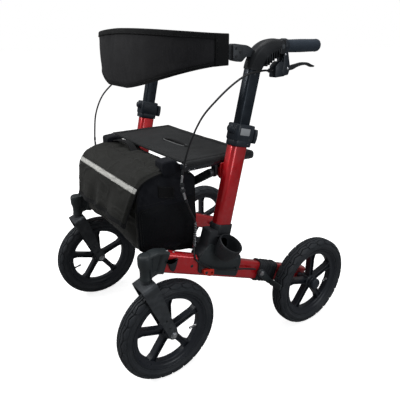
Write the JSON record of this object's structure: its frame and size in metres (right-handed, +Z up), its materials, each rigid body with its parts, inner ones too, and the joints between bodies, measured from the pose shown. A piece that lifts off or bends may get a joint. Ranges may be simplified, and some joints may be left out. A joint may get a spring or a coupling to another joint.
{
  "type": "rollator walker",
  "caption": "Folding rollator walker with swivelling front wheels, height-adjustable handles, hand brakes, a sling seat, a padded backrest strap and a front bag.",
  "frame": {"origin": "on the ground, midway between the side frames and midway between the axles", "axes": "+Z up, -Y the way the walker faces and rolls, +X the user's left"},
  "size_m": [0.676, 0.786, 0.905],
  "materials": {
    "tyre_rubber": "matte, blocky tread",
    "rim_plastic": "satin",
    "red_paint": "gloss metallic",
    "black_metal": "satin powder coat",
    "black_plastic": "fine texture",
    "steel": "bright",
    "grip_rubber": "soft, ribbed",
    "strap_fabric": "padded, woven",
    "seat_fabric": "tight weave",
    "bag_fabric": "coated weave",
    "latch_red": "satin",
    "cable_jacket": "satin"
  },
  "bodies": {
    "left_frame": {"left_side_beam": "red_paint", "left_head_casting": "black_metal", "left_foot_bracket": "black_plastic", "left_beam_sleeve": "black_plastic", "left_upright": "red_paint", "left_rear_axle": "steel", "left_rail_saddle": "red_paint", "left_clamp_collar": "black_plastic", "left_brake_cable": "cable_jacket", "cane_cup": "black_plastic", "bag_hook": "black_plastic", "bag": "bag_fabric"},
    "right_frame": {"right_side_beam": "red_paint", "right_head_casting": "black_metal", "right_foot_bracket": "black_plastic", "right_beam_sleeve": "black_plastic", "right_upright": "red_paint", "right_rear_axle": "steel", "right_rail_saddle": "red_paint", "right_clamp_collar": "black_plastic", "right_brake_cable": "cable_jacket"},
    "bag_flap": {"bag_flap": "bag_fabric"},
    "fold_latch": {"fold_latch": "latch_red"},
    "brace_a": {"brace_bar_a": "black_metal", "brace_pivot": "steel"},
    "brace_b": {"brace_bar_b": "black_metal"},
    "left_caster": {"left_fork": "black_metal", "left_front_axle": "steel"},
    "left_front_wheel": {"left_front_rim": "rim_plastic", "left_front_tyre": "tyre_rubber"},
    "left_rear_wheel": {"left_rear_rim": "rim_plastic", "left_rear_tyre": "tyre_rubber"},
    "left_brake_arm": {"left_brake_arm": "black_metal"},
    "left_clamp_lever": {"left_clamp_lever": "black_plastic"},
    "left_handle": {"left_inner_tube": "black_metal", "left_elbow": "black_plastic", "left_grip": "grip_rubber", "left_brake_housing": "black_plastic", "left_strap_bracket": "black_metal"},
    "left_brake_lever": {"left_brake_lever": "black_plastic"},
    "left_strap": {"left_strap": "strap_fabric"},
    "left_seat": {"left_sling": "seat_fabric"},
    "left_rail": {"left_seat_rail": "black_plastic"},
    "right_caster": {"right_fork": "black_metal", "right_front_axle": "steel"},
    "right_front_wheel": {"right_front_rim": "rim_plastic", "right_front_tyre": "tyre_rubber"},
    "right_rear_wheel": {"right_rear_rim": "rim_plastic", "right_rear_tyre": "tyre_rubber"},
    "right_brake_arm": {"right_brake_arm": "black_metal"},
    "right_clamp_lever": {"right_clamp_lever": "black_plastic"},
    "right_handle": {"right_inner_tube": "black_metal", "right_elbow": "black_plastic", "right_grip": "grip_rubber", "right_brake_housing": "black_plastic", "right_strap_bracket": "black_metal"},
    "right_brake_lever": {"right_brake_lever": "black_plastic"},
    "right_strap": {"right_strap": "strap_fabric"},
    "right_seat": {"right_sling": "seat_fabric"},
    "right_rail": {"right_seat_rail": "black_plastic"}
  },
  "joints": [
    {"name": "fold", "type": "hinge", "parent": "left_frame", "child": "brace_a", "pos_m": [0.215, -0.096, 0.3], "axis": [0, 1, 0], "range_deg": [0, 38], "deforming": ["bag", "bag_flap", "left_sling", "right_sling", "left_strap", "right_strap"]},
    {"name": "brace_cross", "type": "hinge", "parent": "brace_a", "child": "brace_b", "pos_m": [0, -0.0815, 0.424], "axis": [0, 1, 0], "range_deg": [-76, 0]},
    {"name": "right_side_fold", "type": "hinge", "parent": "brace_b", "child": "right_frame", "pos_m": [-0.215, -0.0815, 0.3], "axis": [0, 1, 0], "range_deg": [0, 38]},
    {"name": "right_rail_lift", "type": "hinge", "parent": "brace_a", "child": "right_rail", "pos_m": [-0.215, -0.096, 0.548], "axis": [0, 1, 0], "range_deg": [-38, 0]},
    {"name": "left_rail_lift", "type": "hinge", "parent": "brace_b", "child": "left_rail", "pos_m": [0.215, -0.0815, 0.548], "axis": [0, 1, 0], "range_deg": [0, 38]},
    {"name": "left_seat_fold", "type": "hinge", "parent": "left_rail", "child": "left_seat", "pos_m": [0.2075, -0.056, 0.5885], "axis": [0, 1, 0], "range_deg": [0, 65.69]},
    {"name": "seat_middle_fold", "type": "hinge", "parent": "left_seat", "child": "right_seat", "pos_m": [0, -0.056, 0.5885], "axis": [0, 1, 0], "range_deg": [-131.33, 0]},
    {"name": "left_strap_fold", "type": "hinge", "parent": "left_handle", "child": "left_strap", "pos_m": [0.25, -0.055, 0.853], "axis": [0, 0, 1], "range_deg": [0, 31.64]},
    {"name": "strap_middle_fold", "type": "hinge", "parent": "left_strap", "child": "right_strap", "pos_m": [0, -0.217, 0.83], "axis": [0, 0, 1], "range_deg": [-63.24, 0]},
    {"name": "handle_height", "type": "slide", "parent": "left_frame", "child": "left_handle", "axis": [0, 0.2233, 0.9748], "range_m": [-0.1, 0.06], "deforming": ["left_brake_cable", "right_brake_cable"]},
    {"name": "right_handle_height", "type": "slide", "parent": "right_frame", "child": "right_handle", "axis": [0, 0.2233, 0.9748], "range_m": [-0.1, 0.06]},
    {"name": "left_caster_swivel", "type": "hinge", "parent": "left_frame", "child": "left_caster", "pos_m": [0.25, -0.304, 0.31], "axis": [0, 0, 1], "continuous": true},
    {"name": "left_front_wheel_spin", "type": "hinge", "parent": "left_caster", "child": "left_front_wheel", "pos_m": [0.25, -0.248, 0.145], "axis": [1, 0, 0], "continuous": true},
    {"name": "left_rear_wheel_spin", "type": "hinge", "parent": "left_frame", "child": "left_rear_wheel", "pos_m": [0.303, 0.248, 0.145], "axis": [1, 0, 0], "continuous": true},
    {"name": "left_brake_squeeze", "type": "hinge", "parent": "left_handle", "child": "left_brake_lever", "pos_m": [0.26, 0.12, 0.804], "axis": [1, 0, 0], "range_deg": [0, 12]},
    {"name": "left_brake_press", "type": "hinge", "parent": "left_frame", "child": "left_brake_arm", "pos_m": [0.27, 0.064, 0.22242], "axis": [1, 0, 0], "range_deg": [0, 5.3]},
    {"name": "left_clamp_open", "type": "hinge", "parent": "left_frame", "child": "left_clamp_lever", "pos_m": [0.24, 0.02232, 0.63941], "axis": [0, 0.2233, 0.9748], "range_deg": [0, 100]},
    {"name": "right_caster_swivel", "type": "hinge", "parent": "right_frame", "child": "right_caster", "pos_m": [-0.25, -0.304, 0.31], "axis": [0, 0, 1], "continuous": true},
    {"name": "right_front_wheel_spin", "type": "hinge", "parent": "right_caster", "child": "right_front_wheel", "pos_m": [-0.25, -0.248, 0.145], "axis": [1, 0, 0], "continuous": true},
    {"name": "right_rear_wheel_spin", "type": "hinge", "parent": "right_frame", "child": "right_rear_wheel", "pos_m": [-0.303, 0.248, 0.145], "axis": [1, 0, 0], "continuous": true},
    {"name": "right_brake_squeeze", "type": "hinge", "parent": "right_handle", "child": "right_brake_lever", "pos_m": [-0.26, 0.12, 0.804], "axis": [1, 0, 0], "range_deg": [0, 12]},
    {"name": "right_brake_press", "type": "hinge", "parent": "right_frame", "child": "right_brake_arm", "pos_m": [-0.27, 0.064, 0.22242], "axis": [1, 0, 0], "range_deg": [0, 5.3]},
    {"name": "right_clamp_open", "type": "hinge", "parent": "right_frame", "child": "right_clamp_lever", "pos_m": [-0.24, 0.02232, 0.63941], "axis": [0, -0.2233, -0.9748], "range_deg": [0, 100]},
    {"name": "flap_open", "type": "hinge", "parent": "left_frame", "child": "bag_flap", "pos_m": [0, -0.217, 0.5735], "axis": [1, 0, 0], "range_deg": [-100, 0]},
    {"name": "latch_turn", "type": "hinge", "parent": "left_frame", "child": "fold_latch", "pos_m": [0.277, -0.142, 0.299], "axis": [1, 0, 0], "range_deg": [-40, 0]}
  ],
  "couplings": [
    {"joint": "brace_cross", "follows": "fold", "ratio": -2},
    {"joint": "right_side_fold", "follows": "fold", "ratio": 1},
    {"joint": "right_rail_lift", "follows": "fold", "ratio": -1},
    {"joint": "left_rail_lift", "follows": "fold", "ratio": 1},
    {"joint": "left_seat_fold", "follows": "fold", "ratio": 1.7274},
    {"joint": "seat_middle_fold", "follows": "fold", "ratio": -3.4548},
    {"joint": "left_strap_fold", "follows": "fold", "ratio": 0.8314},
    {"joint": "strap_middle_fold", "follows": "fold", "ratio": -1.6628},
    {"joint": "right_handle_height", "follows": "handle_height", "ratio": 1},
    {"joint": "left_brake_press", "follows": "left_brake_squeeze", "ratio": 0.44},
    {"joint": "right_brake_press", "follows": "right_brake_squeeze", "ratio": 0.44}
  ]
}
